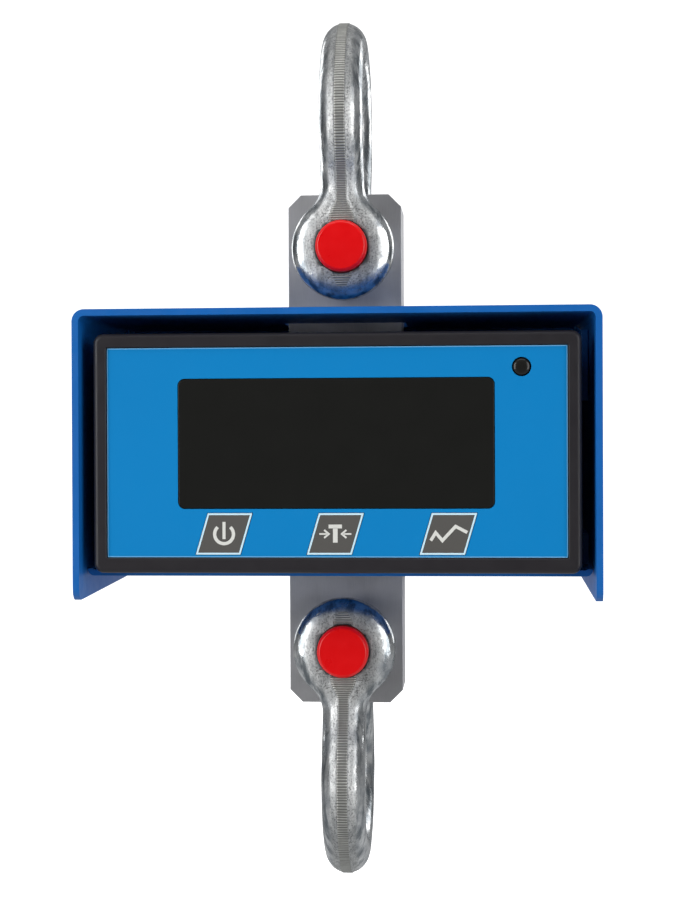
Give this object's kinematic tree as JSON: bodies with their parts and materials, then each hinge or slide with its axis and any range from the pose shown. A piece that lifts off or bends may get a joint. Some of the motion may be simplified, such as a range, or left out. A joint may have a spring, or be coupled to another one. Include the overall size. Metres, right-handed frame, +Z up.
{
  "type": "crane scale",
  "caption": "Crane scale: a load cell bar between two screw-pin bow shackles, under a folded sheet-metal hood that carries a display unit with a keypad.",
  "frame": {"origin": "hook seat: the inside of the upper bow's crown, on the centre plane", "axes": "+Z up along the line of pull, +X to the right seen from the display, -Y towards the reader"},
  "size_m": [0.214, 0.1388, 0.3754],
  "materials": {
    "zinc_steel": "forged steel, hot-dip galvanised, mottled and bright",
    "red_paint": "smooth semi-gloss red paint on steel",
    "cell_steel": "fine ground alloy steel, satin",
    "cover_steel": "turned stainless disc",
    "gauge_foil": "foil strain gauge",
    "blue_paint": "blue powder coat, low gloss",
    "overlay_film": "matt printed polyester film",
    "black_case": "black moulded plastic, fine texture",
    "key_grey": "matt grey film with pale outline",
    "window_acrylic": "dark tinted acrylic",
    "dark_plastic": "black plastic",
    "board_green": "solder-masked circuit board",
    "rubber": "black rubber",
    "battery_wrap": "shrink-wrapped battery pack",
    "screw_steel": "zinc-plated steel"
  },
  "bodies": {
    "upper_shackle": {"upper_bow": "zinc_steel", "upper_pin": "red_paint"},
    "scale_body": {"load_cell": "cell_steel", "gauge_cover_front": "cover_steel", "gauge_cover_rear": "cover_steel", "strain_gauge_front": "gauge_foil", "strain_gauge_rear": "gauge_foil", "cell_lead": "rubber", "lead_gland": "dark_plastic", "hood": "blue_paint", "base_plate": "blue_paint", "back_panel": "blue_paint", "cross_bracket": "blue_paint", "bracket_bolt_left": "screw_steel", "bracket_bolt_right": "screw_steel", "front_frame": "black_case", "rear_shell": "black_case", "case_gasket": "rubber", "membrane_overlay": "overlay_film", "display_window": "window_acrylic", "display_module": "dark_plastic", "main_board": "board_green", "ir_lens": "window_acrylic", "ir_receiver": "dark_plastic", "battery_pack": "battery_wrap", "battery_clip": "screw_steel", "charge_socket": "dark_plastic", "power_switch": "dark_plastic", "tare_switch": "dark_plastic", "peak_switch": "dark_plastic", "hood_screw_1": "screw_steel", "hood_screw_2": "screw_steel", "hood_screw_3": "screw_steel", "hood_screw_4": "screw_steel", "hood_screw_5": "screw_steel", "hood_screw_6": "screw_steel", "hood_screw_7": "screw_steel", "hood_screw_8": "screw_steel", "hood_screw_9": "screw_steel", "hood_screw_10": "screw_steel", "hood_screw_11": "screw_steel", "hood_screw_12": "screw_steel", "case_screw_1": "screw_steel", "rim_screw_1": "screw_steel", "case_screw_2": "screw_steel", "rim_screw_2": "screw_steel", "case_screw_3": "screw_steel", "rim_screw_3": "screw_steel", "case_screw_4": "screw_steel", "rim_screw_4": "screw_steel", "foot_screw_left": "screw_steel", "foot_screw_right": "screw_steel"},
    "lower_shackle": {"lower_bow": "zinc_steel", "lower_pin": "red_paint"},
    "power_button": {"power_key": "key_grey"},
    "tare_button": {"tare_key": "key_grey"},
    "peak_button": {"peak_key": "key_grey"}
  },
  "joints": [
    {"name": "upper_pin_swing", "type": "hinge", "parent": "upper_shackle", "child": "scale_body", "pos_m": [0, 0, -0.0825], "axis": [0, 1, 0], "range_deg": [-100, 100]},
    {"name": "lower_pin_swing", "type": "hinge", "parent": "scale_body", "child": "lower_shackle", "pos_m": [0, 0, -0.2549], "axis": [0, 1, 0], "range_deg": [-100, 100]},
    {"name": "power_key_press", "type": "slide", "parent": "scale_body", "child": "power_button", "axis": [0, 1, 0], "range_m": [0, 0.0005], "stiffness_N_per_m": 3000},
    {"name": "tare_key_press", "type": "slide", "parent": "scale_body", "child": "tare_button", "axis": [0, 1, 0], "range_m": [0, 0.0005], "stiffness_N_per_m": 3000},
    {"name": "peak_key_press", "type": "slide", "parent": "scale_body", "child": "peak_button", "axis": [0, 1, 0], "range_m": [0, 0.0005], "stiffness_N_per_m": 3000}
  ]
}
